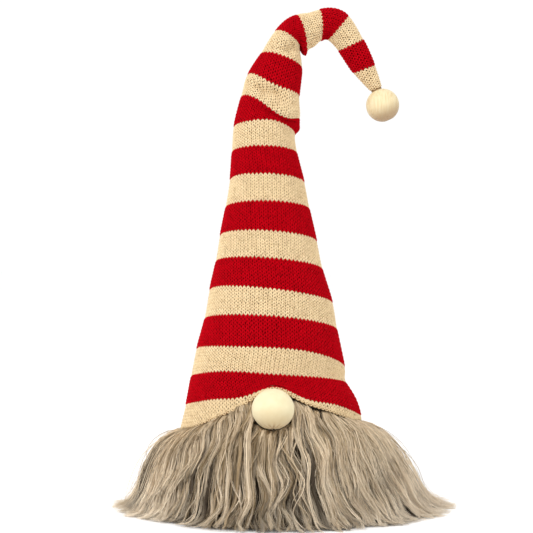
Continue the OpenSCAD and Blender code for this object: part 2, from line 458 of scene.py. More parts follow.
def yarn_material(name, deep, mid, bright, sheen):
    """Matt yarn: a tone for each stitch, darker with painted shade where the yarn dives under, and fine
    fibres.
    """
    nodes = Nodes(name, Sheen_Weight=sheen, Sheen_Roughness=0.6, Specular_IOR_Level=0.03)
    fibres = nodes.noise(2600, 4)
    of_stitch = nodes.maths("MULTIPLY", nodes.attribute("tone"), 0.12)
    tone = nodes.maths("ADD", of_stitch, nodes.maths("MULTIPLY", fibres, 0.88))
    base = nodes.ramp(tone, [(0.25, deep), (0.5, mid), (0.75, bright)])
    # painted shade: the depth attribute blends the yarn towards its deep colour, the shade in the gaps
    nodes.colour(nodes.mix(nodes.attribute("depth"), base, deep))
    nodes.roughness(fibres, 0.75, 0.95)
    nodes.bump(fibres, 0.0003, 0.5)
    return nodes.material


def fur_material():
    """Pile fibre: brown at the root, grey-beige along it and pale at the tip, streaked lengthways."""
    nodes = Nodes("pile_fibre", Specular_IOR_Level=0.35)
    along = nodes.attribute("along")
    lengthways = nodes.add("ShaderNodeCombineXYZ")
    nodes.link(nodes.maths("MULTIPLY", nodes.attribute("lateral"), 3.2), lengthways.inputs["X"])
    nodes.link(nodes.maths("MULTIPLY", along, 2.5), lengthways.inputs["Y"])
    streaks = nodes.noise(1.0, 3, lengthways.outputs["Vector"])
    body = nodes.ramp(along, [
        (0.0, (0.19, 0.132, 0.07)), (0.07, (0.34, 0.235, 0.12)),
        (0.75, (0.385, 0.268, 0.136)), (1.0, (0.66, 0.505, 0.31)),
    ])
    pale = nodes.ramp(along, [
        (0.0, (0.46, 0.355, 0.22)), (0.1, (0.86, 0.69, 0.472)), (1.0, (1.0, 0.87, 0.69)),
    ])
    streaked = nodes.maths("MULTIPLY", nodes.maths("SUBTRACT", streaks, 0.5), 1.6)
    light = nodes.maths("ADD", nodes.attribute("tone"), streaked)
    light.node.use_clamp = True
    strand = nodes.mix(light, body, pale)
    # painted shade: the shade attribute darkens the fibre towards near black
    nodes.colour(nodes.mix(nodes.attribute("shade"), strand, (0.05, 0.03, 0.013)))
    nodes.roughness(streaks, 0.34, 0.55)
    nodes.bump(streaks, 0.0005, 0.6)
    return nodes.material


def cloth_material(name, dark, light, weave, bump_size, sheen=0.2):
    """Plain cloth or felt: mottled colour and a fine weave."""
    nodes = Nodes(name, Sheen_Weight=sheen, Specular_IOR_Level=0.25)
    mottle = nodes.noise(60, 4)
    nodes.colour(nodes.ramp(mottle, [(0.3, dark), (0.7, light)]))
    threads = nodes.noise(weave, 5)
    nodes.roughness(threads, 0.75, 0.98)
    nodes.bump(threads, bump_size, 0.5)
    return nodes.material


def jersey_material():
    """Smooth stretch jersey: fine ribs of tiny loops."""
    nodes = Nodes("nose_jersey", Sheen_Weight=0.15, Specular_IOR_Level=0.2)
    mottle = nodes.noise(120, 3)
    plain = nodes.ramp(mottle, [(0.3, (0.76, 0.66, 0.41)), (0.7, (0.81, 0.73, 0.48))])
    # painted shade: the jersey darkens towards a tan on the underside and in the pleats
    nodes.colour(nodes.mix(nodes.attribute("folds"), plain, (0.45, 0.305, 0.155)))
    ribs = nodes.add("ShaderNodeTexWave", Scale=260.0, Distortion=0.6)
    nodes.link(nodes.place(), ribs.inputs["Vector"])
    loops = nodes.noise(2200, 2)
    height = nodes.maths("ADD", nodes.maths("MULTIPLY", ribs.outputs["Fac"], 0.5), loops)
    nodes.roughness(loops, 0.7, 0.9)
    nodes.bump(height, 0.00012, 0.5)
    return nodes.material


def wood_material():
    """Sanded pale wood with fine grain, darker with painted shade towards the bead's lower mouth."""
    nodes = Nodes("pale_wood", Specular_IOR_Level=0.35)
    turned = nodes.add("ShaderNodeMapping")
    nodes.link(nodes.place(), turned.inputs["Vector"])
    turned.inputs["Rotation"].default_value = (0.0, 0.42, 0.0)
    turned.inputs["Scale"].default_value = (900.0, 260.0, 90.0)
    grain = nodes.add("ShaderNodeTexNoise", Scale=1.0, Detail=5.0, Distortion=0.6)
    nodes.link(turned.outputs["Vector"], grain.inputs["Vector"])
    fine = grain.outputs["Fac"]
    wood = nodes.ramp(fine, [
        (0.3, (0.67, 0.52, 0.29)), (0.5, (0.75, 0.62, 0.37)), (0.72, (0.79, 0.69, 0.45)),
    ])
    # painted shade: the lower attribute darkens the wood towards the bead's lower mouth
    nodes.colour(nodes.mix(nodes.attribute("lower"), wood, (0.38, 0.255, 0.14)))
    nodes.roughness(fine, 0.38, 0.55)
    nodes.bump(fine, 0.00006, 0.4)
    return nodes.material


def metal_material():
    """Soft iron wire, finely scratched."""
    nodes = Nodes("soft_wire", Metallic=1.0)
    scratches = nodes.noise(700, 4)
    nodes.colour(nodes.ramp(scratches, [(0.3, (0.42, 0.43, 0.45)), (0.7, (0.62, 0.63, 0.65))]))
    nodes.roughness(scratches, 0.3, 0.5)
    return nodes.material


def grainy_material(name, dark, light, grain):
    """A speckled solid such as card or pellets."""
    nodes = Nodes(name, Specular_IOR_Level=0.3)
    specks = nodes.noise(grain, 4)
    nodes.colour(nodes.ramp(specks, [(0.35, dark), (0.65, light)]))
    nodes.roughness(specks, 0.6, 0.9)
    nodes.bump(specks, 0.0002, 0.4)
    return nodes.material


# The first colour of each yarn is its painted shade, used in the gaps and in the fabric behind the
# stitches.
RED_YARN = yarn_material("red_yarn", (0.13, 0.0, 0.002), (0.455, 0.0004, 0.005), (0.585, 0.001, 0.010), 0.0)
CREAM_YARN = yarn_material("cream_yarn", (0.30, 0.17, 0.075), (0.82, 0.63, 0.37), (0.92, 0.77, 0.51), 0.1)
FUR = fur_material()
# painted shade: the bed of roots is near black to darken the gaps between the locks
UNDERFUR_PAINTED_SHADE = cloth_material("pile_roots_painted_shade", (0.05, 0.036, 0.022), (0.15, 0.11, 0.07), 900, 0.0012)
FELT = cloth_material("felt", (0.30, 0.28, 0.25), (0.42, 0.40, 0.36), 1300, 0.0004)
BACKING = cloth_material("pile_backing", (0.16, 0.13, 0.10), (0.24, 0.20, 0.15), 1500, 0.0003)
STUFFING = cloth_material("stuffing_fibre", (0.78, 0.77, 0.74), (0.93, 0.92, 0.90), 500, 0.0010)
COTTON = cloth_material("cotton", (0.66, 0.62, 0.54), (0.80, 0.77, 0.70), 1800, 0.0002)
THREAD = cloth_material("twisted_thread", (0.66, 0.55, 0.38), (0.82, 0.73, 0.55), 2500, 0.0002)
JERSEY = jersey_material()
WOOD = wood_material()
WIRE = metal_material()
CARD = grainy_material("grey_card", (0.30, 0.24, 0.17), (0.42, 0.34, 0.25), 400)
PELLETS = grainy_material("pellet_fill", (0.45, 0.45, 0.45), (0.85, 0.85, 0.85), 350)

# ---- Riding on the hat's stretches ----


def unit(vector):
    """The vector, one long."""
    return vector / np.linalg.norm(vector)


STRETCH_WAYS = [
    unit(LOW_BEND),
    unit(TOP_BEND - LOW_BEND),
    unit(CREST_BEND - TOP_BEND),
    unit(BEAD_CENTRE - CREST_BEND),
]
# The row where each bend is over, and how far the fabric bends before and after the bend's
# centre, in millimetres.
BENDS = {
    "low_bend": (12 * ROWS_PER_STRIPE, 25, 20),
    "top_bend": (15 * ROWS_PER_STRIPE, 22, 6),
    "crest_bend": (20 * ROWS_PER_STRIPE, 7, 24),
}


def bend_zones():
    """For each bend: its last row, parent and child body, where the bending starts and ends."""
    zones = []
    for index, (name, (row, before, after)) in enumerate(BENDS.items()):
        way = unit(STRETCH_WAYS[index] + STRETCH_WAYS[index + 1])
        centre = joint_place(name)
        joint = JOINTS[name]
        zones.append((row, joint["parent"], joint["child"], centre - way * before, centre + way * after))
    return zones


BEND_ZONES = bend_zones()


def follow_hat(piece, first_row):
    """Rides the piece on its stretch of the hat; a piece that crosses a bend stays where it is, with its
    transform baked in.
    """
    points = np.array([vertex.co for vertex in piece.data.vertices]) / MM
    body = "body"
    for last_row, parent, child, start, end in BEND_ZONES:
        span = end - start
        share = (points - start) @ span / (span @ span)
        if first_row < last_row and share.max() <= 0:
            break
        if first_row < last_row and share.min() < 1:
            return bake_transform(piece)
        body = child
    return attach(piece, body)


# ---- The hat ----


def leg_template(side):
    """One leg of a stitch: wales across, rows up and millimetres out for each of its points."""
    u = np.linspace(0, 1, LEG_RINGS)
    across = side * (0.07 + 0.38 * ease((u - 0.05) / 0.9)) * WALE
    up = (-0.80 + 1.60 * u) * ROW_HEIGHT
    out = np.where(u < 0.55, 0.3 - 1.1 * (1 - u / 0.55) ** 2, 0.3 - 0.7 * ((u - 0.55) / 0.45) ** 2)
    thick = YARN_R * (1 - 0.45 * np.abs(2 * u - 1) ** 4)
    way = np.stack([np.gradient(across), np.gradient(up)], 1)
    way /= np.linalg.norm(way, axis=1, keepdims=True)
    turn = np.linspace(0, 2 * math.pi, LEG_SIDES, endpoint=False)
    sideways = np.sin(turn)[None, :] * thick[:, None]
    outward = np.cos(turn)[None, :] * thick[:, None] * 0.85
    across = across[:, None] - way[:, 1:] * sideways
    up = up[:, None] + way[:, :1] * sideways
    out = out[:, None] + outward
    return across / WALE, up / ROW_HEIGHT, out


LEFT_LEG = leg_template(-1)
RIGHT_LEG = leg_template(1)
LEG_SIZE = LEG_RINGS * LEG_SIDES


def leg_faces(count):
    """Side quads and end caps of a number of legs whose points follow each other."""
    starts = (np.arange(count) * LEG_SIZE)[:, None, None]
    quads = grid_faces(LEG_RINGS, LEG_SIDES, closed=True)
    ring = np.arange(LEG_SIDES)
    caps = np.stack([ring[::-1], ring + LEG_SIZE - LEG_SIDES])
    return [(block[None] + starts).reshape(-1, block.shape[1]) for block in (quads, caps)]


def stitch_places(first_row, last_row):
    """(wale, row) of every stitch in the rows, as far round as the back seam, above the hem."""
    places = []
    for row in range(first_row, last_row):
        t = row + 0.5
        reach = round(math.pi * float(hat_radius(np.array(t))) / WALE)
        for wale in range(-reach, reach + 1):
            psi = wale * WALE / float(hat_radius(np.array(t)))
            if t > rim_row(np.array(psi)) + 0.7:
                places.append((wale, t))
    return np.array(places, float)


def stitches(first_row, last_row, rng):
    """Points, faces, tones and painted shade of all stitches in the rows."""
    places = stitch_places(first_row, last_row)
    count = len(places)
    tones = np.clip(rng.normal(0.5, 0.22, count), 0, 1)
    shift = rng.normal(0, 0.035, (count, 2))
    points, painted_shades = [], []
    for across, up, out in (LEFT_LEG, RIGHT_LEG):
        wale = places[:, 0, None, None] + across + shift[:, 0, None, None]
        t = places[:, 1, None, None] + up + shift[:, 1, None, None]
        psi = np.clip(wale * WALE / hat_radius(t), -math.pi, math.pi)
        surface = hat_point(t, psi)
        surface = surface + hat_normal(t, psi) * np.broadcast_to(out, t.shape)[..., None]
        points.append(surface.reshape(count, -1, 3))
        # painted shade: a leg is darker the further it dives under the surface
        painted_shades.append(np.broadcast_to(np.clip(-out * 1.6, 0, 1), t.shape).reshape(count, -1))
    points = np.concatenate(points, 1).reshape(-1, 3)
    depth = np.concatenate(painted_shades, 1).ravel()
    return points, leg_faces(2 * count), np.repeat(tones, 2 * LEG_SIZE), depth


def stripe_band(first_row, last_row, columns=120):
    """Outer and inner grids of the closed fabric behind the stitches of a stripe."""
    psi = np.linspace(-math.pi, math.pi, columns, endpoint=False)[None, :]
    share = np.linspace(0, 1, 2 * ROWS_PER_STRIPE + 1)[:, None]
    start = np.maximum(rim_row(psi), first_row) if first_row < 0 else np.full_like(psi, first_row)
    t = start + (last_row - start) * share
    psi = np.broadcast_to(psi, t.shape)
    normal = hat_normal(t, psi)
    surface = hat_point(t, psi)
    return surface - 1.1 * normal, surface - 2.0 * normal


def band_faces(rows, columns):
    """Quads of a closed band between two grids that go right round; the outer points come first."""
    count = rows * columns
    outside = grid_faces(rows, columns, closed=True)
    here = np.arange(columns)
    beside = (here + 1) % columns
    foot = np.stack([here, here + count, beside + count, beside], 1)
    top = count - columns
    head = np.stack([here, beside, beside + count, here + count], 1) + top
    return np.concatenate([outside, outside[:, ::-1] + count, foot, head])


def knitted_stripe(index, rng):
    """One stripe of the hat: its stitches and the closed band of fabric behind them."""
    first_row = (index - 1) * ROWS_PER_STRIPE
    last_row = first_row + ROWS_PER_STRIPE
    points, faces, tones, painted_shades = stitches(first_row, last_row, rng)
    outer, inner = stripe_band(first_row, last_row)
    band = band_faces(*outer.shape[:2]) + len(points)
    band_points = np.concatenate([outer.reshape(-1, 3), inner.reshape(-1, 3)])
    points = np.concatenate([points, band_points])
    tones = np.concatenate([tones, np.full(len(band_points), 0.35)])
    # painted shade: the fabric behind the stitches is drawn nearly in the yarn's shade colour
    painted_shades = np.concatenate([painted_shades, np.full(len(band_points), 0.9)])
    red = index % 2 == 1
    material = RED_YARN if red else CREAM_YARN
    name = f"knit_stripe_{index:02d}_{'red' if red else 'cream'}"
    piece = make_piece(name, points, [*faces, band], material, tone=tones, depth=painted_shades)
    follow_hat(piece, first_row)
    return piece


def knit_hat():
    """All stripes; they replace the hat's CAD knit, which is hidden."""
    rng = np.random.default_rng(SEED)
    pieces = [knitted_stripe(index, rng) for index in range(STRIPES)]
    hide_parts("hat_knit_lower")
    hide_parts("hat_knit_middle")
    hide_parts("hat_knit_crest")
    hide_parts("hat_knit_tip")


def rim_hem():
    """The turned hem: a soft roll along the rim with the stitches running over and under it."""
    count = 2 * int(math.pi * float(hat_radius(np.array(0.0))) / WALE)
    psi = np.linspace(-math.pi, math.pi, count, endpoint=False)
    t = rim_row(psi)
    rim = hat_point(t, psi)
    normal = hat_normal(t, psi)
    way = unit_rows(np.roll(rim, -1, 0) - np.roll(rim, 1, 0))
    up = np.cross(normal, way)
    up = up * np.sign(up[:, 2:])
    rim = rim - normal * 0.7 + up * 1.1
    turn = np.linspace(0, 2 * math.pi, 12, endpoint=False)
    roll = hem_point(rim, up, normal, turn[None, :], 1.5, 0.8)
    start = roll.shape[0] * roll.shape[1]
    legs = np.concatenate([
        hem_legs(rim, up, normal, way, side, low, high)
        for side in (-1, 1)
        for low, high in ((2.9, 1.3), (1.7, 0.1))
    ])
    quads, caps = leg_faces(len(legs))
    rng = np.random.default_rng(SEED + 1)
    tones = np.repeat(np.clip(rng.normal(0.5, 0.2, len(legs)), 0, 1), LEG_SIZE)
    points = np.concatenate([roll.reshape(-1, 3), legs.reshape(-1, 3)])
    faces = [ring_grid(count, len(turn)), quads + start, caps + start]
    # painted shade: the roll under the stitches is drawn nearly in the yarn's shade colour
    piece = make_piece("hat_rim_hem", points, faces, CREAM_YARN,
                       tone=np.concatenate([np.full(start, 0.4), tones]),
                       depth=np.concatenate([np.full(start, 0.9), np.zeros(len(tones))]))
    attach(piece, "body")
    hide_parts("hat_hem")


def unit_rows(vectors):
    """Every vector along the last axis, one long."""
    return vectors / np.maximum(np.linalg.norm(vectors, axis=-1, keepdims=True), 1e-9)


def hem_point(rim, up, normal, turn, tall, deep):
    """Points round the hem's roll; the turn starts at its top and goes down over the front."""
    return (
        rim[:, None]
        + up[:, None] * (np.cos(turn) * tall)[..., None]
        + normal[:, None] * (np.sin(turn) * deep)[..., None]
    )


def hem_legs(rim, up, normal, way, side, low, high):
    """One leg of a stitch for each wale, laid over the roll from angle low up to angle high."""
    u = np.linspace(0, 1, LEG_RINGS)
    turn = low + (high - low) * u
    path = hem_point(rim, up, normal, turn[None, :], 1.7, 0.95)
    path = path + way[:, None] * (side * (0.07 + 0.38 * ease(u)) * WALE)[None, :, None]
    along = unit_rows(np.gradient(path, axis=1))
    across = unit_rows(np.cross(along, normal[:, None]))
    above = np.cross(across, along)
    thick = 0.75 * YARN_R * (1 - 0.45 * np.abs(2 * u - 1) ** 4)[None, :, None, None]
    ring = np.linspace(0, 2 * math.pi, LEG_SIDES, endpoint=False)[None, None, :, None]
    rings = np.cos(ring) * above[:, :, None] + np.sin(ring) * across[:, :, None]
    return path[:, :, None] + thick * rings


def ring_grid(rows, columns):
    """Quads of a grid that is closed both ways."""
    row, column = np.meshgrid(np.arange(rows), np.arange(columns), indexing="ij")
    row, column = row.ravel() * columns, column.ravel()
    after, beside = (row + columns) % (rows * columns), (column + 1) % columns
    return np.stack([row + column, after + column, after + beside, row + beside], 1)


def hat_stuffing():
    """The fibre that fills the hat, in one piece for each stretch that the fabric bends with."""
    spans = ((3, 8, "lower"), (8, 12, "middle"), (12, 15, "crest"), (15, 20, "tip"))
    for first, last, stretch in spans:
        rows = (last - first) * 6 + 1
        columns = 48
        t = np.linspace(first * ROWS_PER_STRIPE, last * ROWS_PER_STRIPE, rows)[:, None]
        psi = np.linspace(-math.pi, math.pi, columns, endpoint=False)[None, :]
        t, psi = np.broadcast_arrays(t, psi)
        grid = hat_point(t, psi) - 2.4 * hat_normal(t, psi)
        around = np.arange(columns)[None]
        faces = [grid_faces(rows, columns, closed=True), around[:, ::-1], around + (rows - 1) * columns]
        piece = make_piece(f"stuffing_{stretch}", grid, faces, STUFFING)
        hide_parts(f"hat_stuffing_{stretch}")
        follow_hat(piece, first * ROWS_PER_STRIPE)


def hat_wire():
    """The wire up the middle of the hat, in one piece for each stretch."""
    low, high = node_box("hat_wire_lower")
    radius = (high[1] - low[1]) / 2
    spans = ((3.5, 8, "lower"), (8, 12, "middle"), (12, 15, "crest"), (15, 19.5, "tip"))
    for first, last, stretch in spans:
        t = np.linspace(first * ROWS_PER_STRIPE, last * ROWS_PER_STRIPE, 24)
        left_x, left_z, right_x, right_z, depth = ring_at(t)
        path = np.stack([(left_x + right_x) / 2, np.zeros_like(t), (left_z + right_z) / 2], 1)
        piece = tube_piece(f"wire_{stretch}", path, np.full(len(t), radius), WIRE)
        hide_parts(f"hat_wire_{stretch}")
        follow_hat(piece, first * ROWS_PER_STRIPE)


# ---- Bead and cord ----


def along_cord(points):
    """Turns points from the bead's own frame, with +Z down the cord, into the row frame."""
    side = unit(np.cross(np.array([0.0, 1.0, 0.0]), CORD_WAY))
    frame_rows = np.stack([side, np.array([0.0, 1.0, 0.0]), CORD_WAY])
    return np.asarray(points) @ frame_rows + BEAD_CENTRE


def wooden_bead():
    """A turned bead: a ball with a bore, eased at both mouths and wider where the knot sits."""
    bore, mouth, mouth_depth, edge = 1.6, 3.0, 6.0, 0.7
    start = math.asin((bore + edge) / BEAD_R)
    stop = math.pi - math.asin((mouth + edge) / BEAD_R)
    arc = [(BEAD_R * math.sin(a), -BEAD_R * math.cos(a)) for a in np.linspace(start, stop, 48)]
    top = -BEAD_R * math.cos(start)
    foot = -BEAD_R * math.cos(stop)
    shoulder = BEAD_R - mouth_depth
    profile = [
        (bore, top + edge * 0.9), (bore + edge * 0.3, top + edge * 0.2), *arc,
        (mouth + edge * 0.3, foot - edge * 0.2), (mouth, foot - edge * 0.9),
        (mouth, shoulder), (bore, shoulder),
    ]
    columns = 96
    angles = np.linspace(0, 2 * math.pi, columns, endpoint=False)
    points = np.array([[(r * math.cos(a), r * math.sin(a), z) for a in angles] for r, z in profile])
    # painted shade, darkest at the lower mouth
    lower = np.repeat([0.95 * ease(z / BEAD_R + 0.1) for r, z in profile], columns)
    faces = [ring_grid(len(profile), columns)]
    piece = make_piece("wooden_bead", along_cord(points.reshape(-1, 3)), faces, WOOD, lower=lower)
    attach(piece, "bead")
    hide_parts("tip_bead")


# ---- Body ----

NECK_R = 7.0
BELLY_Z = 30.0
# The sack stands on the edge of its base, which is a disc of the same felt.
FELT_T = BODY_LOW[2]
BASE_R = node_box("base_cloth")[1][0]
FOOT_ROWS = 12
SEW_R = 0.38


def body_profile(rows):
    """Radius and height of the sack's outer form: a rounded foot, then a dome up to the neck."""
    angle = np.linspace(0, math.pi / 2, rows - FOOT_ROWS)
    dome_r = NECK_R + (BODY_R - NECK_R) * np.cos(angle)
    dome_z = BELLY_Z + (BODY_HIGH[2] - 6 - BELLY_Z) * np.sin(angle)
    foot_z = np.linspace(FELT_T, BELLY_Z, FOOT_ROWS, endpoint=False)
    foot_r = BASE_R + (BODY_R - BASE_R) * ease((foot_z - FELT_T) / (BELLY_Z - FELT_T))
    foot_r = foot_r - 1.2 * bump(foot_z - FELT_T, 2.0) + 0.9 * bump(foot_z - 13, 9)
    return np.append(foot_r, dome_r), np.append(foot_z, dome_z)


def sack_relief(psi, z):
    """How far the felt stands out: slack, gathers at foot and neck, and the seam down the back."""
    arc = (math.pi - np.abs(wrapped(psi))) * BODY_R
    slack = 0.45 * np.sin(5 * psi + 0.6) * np.sin(z / 13 + 1) + 0.3 * np.sin(9 * psi + z / 8)
    gathers = -0.5 * (0.5 + 0.5 * np.cos(44 * psi)) * bump(z - 4, 5)
    neck = 0.9 * np.cos(24 * psi) * ease((z - 105) / 20)
    seam = 0.5 * bump(arc - 2.8, 1.5) - 1.3 * bump(arc, 1.2)
    return slack + gathers + neck + seam * ease((z - FELT_T) / 5)


def body_sack():
    """The felt sack, open inside, with its stitched foot and back seam."""
    columns, rows = 288, 64
    radius, height = body_profile(rows)
    psi = np.linspace(-math.pi, math.pi, columns, endpoint=False)[None, :]
    z = np.repeat(height[:, None], columns, 1)
    outer_r = radius[:, None] + sack_relief(psi, z)
    inner_r = np.repeat((radius - FELT_T)[:, None], columns, 1)
    r, z = np.concatenate([outer_r, inner_r[::-1]]), np.concatenate([z, z[::-1]])
    points = np.stack([r * np.sin(psi), -r * np.cos(psi), z], -1)
    piece = make_piece("body_sack", points, [ring_grid(2 * rows, columns)[:, ::-1]], FELT)
    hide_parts("body_cloth")
    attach(piece, "body")


def body_stitches():
    """Whip stitches round the foot of the sack, and the running stitch in its back seam."""
    paths = []
    for turn in np.linspace(-math.pi, math.pi, 88, endpoint=False):
        psi = turn + np.array([0, 0.008, 0.018, 0.026, 0.03])
        r = BASE_R + np.array([-0.6, 0.35, 0.75, 0.55, -0.9])
        z = np.array([0.9, 0.8, 2.6, 4.6, 5.4])
        paths.append(np.stack([r * np.sin(psi), -r * np.cos(psi), z], 1))
    for low in np.arange(9.0, 62.0, 5.0):
        z = low + np.array([0, 0.8, 1.7, 2.6, 3.4])
        r = np.interp(z, *body_profile(64)[::-1]) - 1.3 + np.array([-0.7, 0.35, 0.5, 0.35, -0.7])
        paths.append(np.stack([np.zeros(5), r, z], 1))
    thick = np.full((len(paths), 5), SEW_R)
    points, faces = tubes(np.array(paths), thick, thick, 6)
    piece = make_piece("body_seam_stitches", points, faces, THREAD)
    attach(piece, "body")


# ---- Nose ----


def nose_surface(scale):
    """Points and faces of the stuffed ball, gathered into small pleats underneath, and its painted shade.
    """
    rows, columns = 96, 192
    polar = np.linspace(0.004, math.pi - 0.004, rows)[:, None]
    around = np.linspace(0, 2 * math.pi, columns, endpoint=False)[None, :]
    polar, around = np.broadcast_arrays(polar, around)
    gathered = bump(math.pi - polar, 0.5)
    pleats = np.cos(13 * around + 0.9 * np.sin(2 * around)) * gathered
    pleats = pleats * np.clip((math.pi - polar) * 5, 0, 1)
    radius = scale * NOSE_R * (1 - 0.020 * pleats - 0.06 * bump(math.pi - polar, 0.25))
    radius = radius * (1 + 0.006 * np.sin(3 * around + 1) * np.sin(polar))
    ball = np.stack([radius * np.sin(polar) * np.cos(around), radius * np.sin(polar) * np.sin(around),
                     radius * np.cos(polar)], -1)
    tilt = math.radians(20)
    turned = ball.copy()
    turned[..., 1] = ball[..., 1] * math.cos(tilt) + ball[..., 2] * math.sin(tilt)
    turned[..., 2] = -ball[..., 1] * math.sin(tilt) + ball[..., 2] * math.cos(tilt)
    points = turned * np.array([1.0, 0.98, 0.95]) + NOSE_CENTRE
    count = rows * columns
    points = np.concatenate([points.reshape(-1, 3), [points[0].mean(0), points[-1].mean(0)]])
    here = np.arange(columns)
    beside = (here + 1) % columns
    last = (rows - 1) * columns
    caps = [np.stack([here, beside, np.full(columns, count)], 1),
            np.stack([beside + last, here + last, np.full(columns, count + 1)], 1)]
    # painted shade: darker on the underside and in the pleats
    underside_shade = 0.5 * ease(0.1 - np.cos(polar))
    folds = np.clip(underside_shade + 0.4 * gathered * (1 + pleats) ** 2, 0, 1).ravel()
    return points, [grid_faces(rows, columns, closed=True)[:, ::-1], *caps], np.append(folds, (0, 1))


def stuffed_nose():
    """The nose's jersey cover and the fibre inside it."""
    points, faces, folds = nose_surface(1.0)
    cover = make_piece("nose_ball", points, faces, JERSEY, folds=folds)
    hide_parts("nose_cloth")
    points, faces = nose_surface(0.93)[:2]
    filling = make_piece("nose_filling", points, faces, STUFFING)
    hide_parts("nose_stuffing")
    for piece in (cover, filling):
        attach(piece, "body")


# ---- Beard ----

STRAND_POINTS = 14
BEARD_HALF_ANGLE = math.radians(114)
BEARD_GROUPS = 10
# Beyond this angle the locks fill the pile's cut edge from its face down to the cloth.
EDGE_FROM = math.radians(97)
# How far the tips are combed round towards the sides, in millimetres.
SIDE_COMBING = 17

# The pile's coats of locks, from the skin outwards: locks, strands in each, half width of a
# lock, how deep it lies, how far below the rim its roots are, and how wavy.
COATS = [
    (150, 22, (2.6, 4.6), 7.5, (8, 40), 0.7),
    (170, 44, (2.0, 4.2), 2.4, (0.3, 2.2), 1.0),
    (190, 18, (0.8, 2.1), -0.6, (0.3, 4), 1.25),
    (70, 4, (0.4, 0.9), -3.0, (0.5, 6), 2.0),
]


def foot_reach(psi):
    """How far the pile spreads on the floor: least in front, most on the right."""
    sine = np.sin(psi)
    return 106 + 10 * sine + 26 * sine**4


def bezier(p0, p1, p2, p3, u):
    """Values on a cubic through four control values."""
    v = 1 - u
    return p0 * v**3 + 3 * p1 * v**2 * u + 3 * p2 * v * u**2 + p3 * u**3


def bezier_way(p0, p1, p2, p3, u):
    """How fast that cubic changes."""
    v = 1 - u
    return 3 * ((p1 - p0) * v**2 + 2 * (p2 - p1) * v * u + (p3 - p2) * u**2)


def waves(rng, shape, reach, turns, u):
    """Random waves along paths; each one starts at nothing at the root."""
    height = rng.normal(0, reach, shape)[..., None]
    count = rng.uniform(*turns, shape)[..., None]
    phase = rng.uniform(0, 2 * math.pi, shape)[..., None]
    return height * (np.sin(2 * math.pi * count * u + phase) - np.sin(phase))


def drift(psi, u):
    """The sideways drift that neighbouring locks share, which opens and closes partings."""
    fan = 3.6 * np.sin(9 * psi + 4.95) + 3.2 * np.sin(16.5 * psi + 2.8)
    curl = 1.6 * np.sin(4.4 * math.pi * u + 5 * psi) + 1.0 * np.sin(7.2 * math.pi * u + 11 * psi + 0.7)
    return fan * u + curl * np.minimum(1, 5 * u)


def parting(psi, u):
    """How deep in a parting a place lies, for its painted shade: deepest where the shared drift spreads the
    locks.
    """
    spread = 0.36 * np.cos(9 * psi + 4.95) + 0.59 * np.cos(16.5 * psi + 2.8)
    return np.clip(1.6 * (spread - 0.25), 0, 1) * bump(u - 0.62, 0.3)


def lock_profiles(count, depth, roots, rng):
    """Angle of each lock round the front, and its radial profile as four radii and four heights."""
    psi = rng.uniform(-BEARD_HALF_ANGLE, BEARD_HALF_ANGLE, count)
    rim = hat_point(rim_row(psi), psi)
    root_r = np.hypot(rim[:, 0], rim[:, 1]) - 4.5
    root_z = rim[:, 2] - rng.uniform(*roots, count)
    ends = ease((np.abs(psi) - EDGE_FROM) / (BEARD_HALF_ANGLE - EDGE_FROM))
    inward = ends * ((0.618 * np.arange(count)) % 1)
    push = rng.normal(0, 2.4, count) - depth - 34 * inward
    below_nose = np.abs(psi - 0.01) < 0.2
    root_z = np.where(below_nose, np.minimum(root_z, NOSE_LOW[2] + 4), root_z)
    root_r = np.where(below_nose, -NOSE_CENTRE[1] - 3, root_r)
    sine = np.sin(psi)
    side = sine**2
    shoulder_r = root_r + np.where(below_nose, 9, 17 + 14 * side) + push
    shoulder_z = root_z - rng.uniform(1, 5, count) - 4 * side
    knee_r = 92 + 4 * side + 6 * sine * side + push
    foot_r = foot_reach(psi) * rng.uniform(0.90, 1.0, count) + np.minimum(push * 0.5, 0) - 44 * inward
    heights = (root_z, shoulder_z, rng.uniform(0, 6, count) - 5 * side, rng.uniform(0.5, 2.0, count))
    return psi, (root_r, shoulder_r, knee_r, foot_r), heights


def calm_sides(psi):
    """How strongly the fibre waves: full in front, half at the sides."""
    return 1 - 0.5 * np.sin(psi) ** 2


def lock_sway(psi, wavy, u, rng):
    """How each lock sways round the beard and ripples in and out; the sides are combed outwards."""
    count = len(psi)
    psi = psi[:, None, None]
    slow = waves(rng, (count, 1), 1.5 * wavy, (0.7, 1.6), u)
    quick = waves(rng, (count, 1), 0.85 * wavy, (2.2, 3.6), u)
    lean = rng.normal(0, 4.0, (count, 1, 1)) * u**1.5
    combed = SIDE_COMBING * np.sin(2 * psi) * u**3
    sway = drift(psi, u) + calm_sides(psi) * (slow + quick) + lean + combed
    ripple = calm_sides(psi) * waves(rng, (count, 1), 0.8 * wavy, (1.2, 3.0), u)
    return sway, ripple


